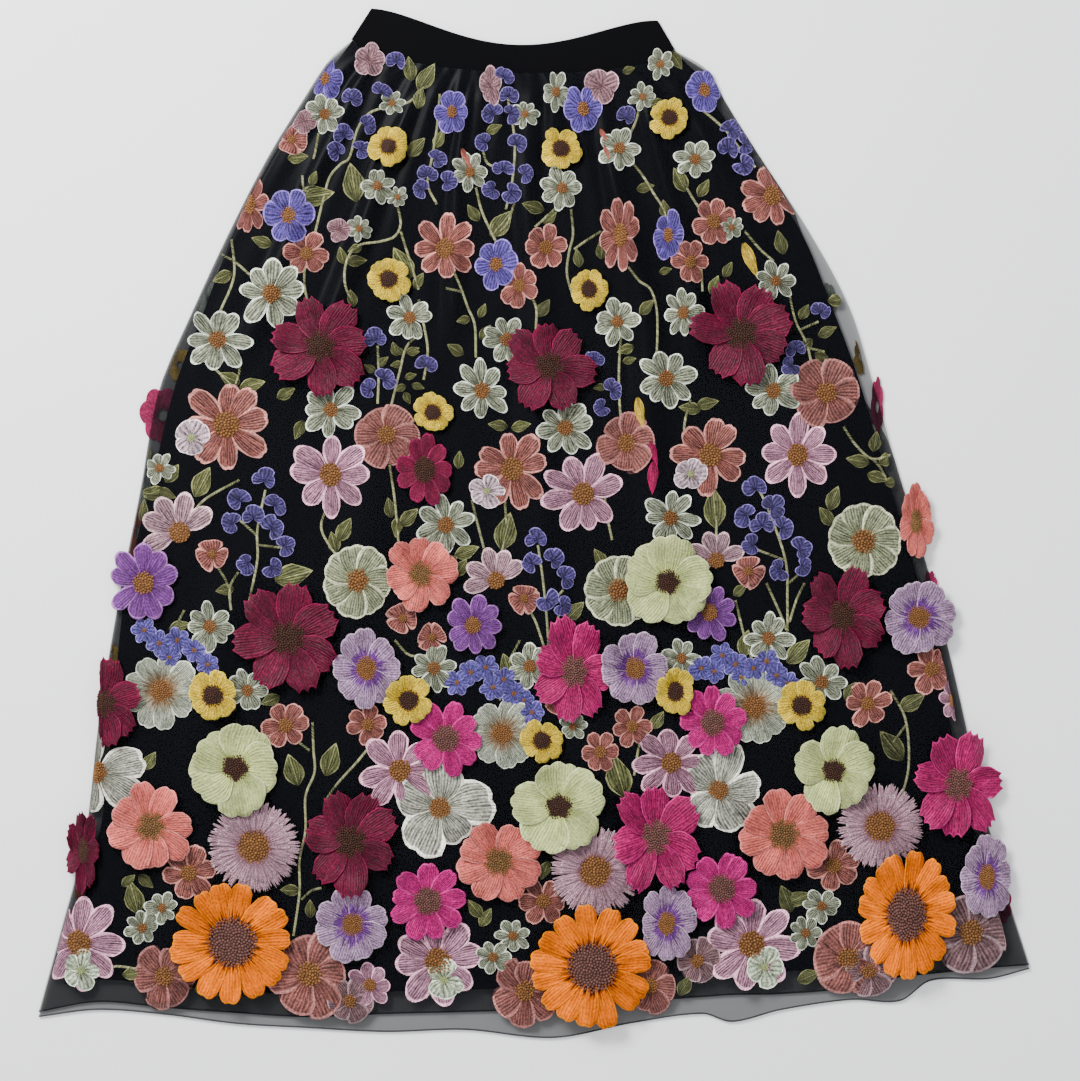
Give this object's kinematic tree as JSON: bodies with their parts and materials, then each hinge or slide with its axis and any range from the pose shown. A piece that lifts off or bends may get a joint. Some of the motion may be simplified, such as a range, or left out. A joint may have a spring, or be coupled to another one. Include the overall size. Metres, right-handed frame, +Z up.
{
  "type": "maxi skirt",
  "caption": "Long flared skirt laid flat on its back: sheer gathered organza covered in raised sewn-on flowers over a plain lining, on an elastic waistband.",
  "frame": {"origin": "middle of the skirt's plan, on the surface it is laid on", "axes": "+Z up out of the front of the skirt, +Y from the hem to the waist, +X to the right as seen from above"},
  "size_m": [0.99, 1.0281, 0.0289],
  "materials": {
    "organza": "sheer black organza",
    "lining": "plain black lining",
    "elastic": "matt woven elastic",
    "thistle": "satin-stitch embroidery",
    "aster": "satin-stitch embroidery",
    "daisy": "satin-stitch embroidery",
    "windflower": "satin-stitch embroidery",
    "cosmos": "satin-stitch embroidery",
    "buttercup": "satin-stitch embroidery",
    "poppy": "satin-stitch embroidery",
    "anemone": "satin-stitch embroidery",
    "gerbera": "satin-stitch embroidery"
  },
  "bodies": {
    "root": {"anemone_01": "anemone", "anemone_02": "anemone", "anemone_03": "anemone", "anemone_04": "anemone", "aster_01": "aster", "aster_02": "aster", "aster_03": "aster", "buttercup_01": "buttercup", "buttercup_02": "buttercup", "buttercup_03": "buttercup", "buttercup_04": "buttercup", "buttercup_05": "buttercup", "buttercup_06": "buttercup", "buttercup_07": "buttercup", "buttercup_08": "buttercup", "buttercup_09": "buttercup", "buttercup_10": "buttercup", "buttercup_11": "buttercup", "cosmos_01": "cosmos", "cosmos_02": "cosmos", "cosmos_03": "cosmos", "cosmos_04": "cosmos", "cosmos_05": "cosmos", "cosmos_06": "cosmos", "cosmos_07": "cosmos", "cosmos_08": "cosmos", "cosmos_09": "cosmos", "cosmos_10": "cosmos", "cosmos_11": "cosmos", "daisy_01": "daisy", "daisy_02": "daisy", "daisy_03": "daisy", "daisy_04": "daisy", "daisy_05": "daisy", "gerbera_01": "gerbera", "gerbera_02": "gerbera", "gerbera_03": "gerbera", "lining_back": "lining", "lining_front": "lining", "poppy_01": "poppy", "poppy_02": "poppy", "poppy_03": "poppy", "poppy_04": "poppy", "poppy_05": "poppy", "skirt_back": "organza", "skirt_front": "organza", "thistle_01": "thistle", "thistle_02": "thistle", "thistle_03": "thistle", "waistband": "elastic", "windflower_01": "windflower", "windflower_02": "windflower", "windflower_03": "windflower", "windflower_04": "windflower", "windflower_05": "windflower", "windflower_06": "windflower"}
  },
  "joints": []
}
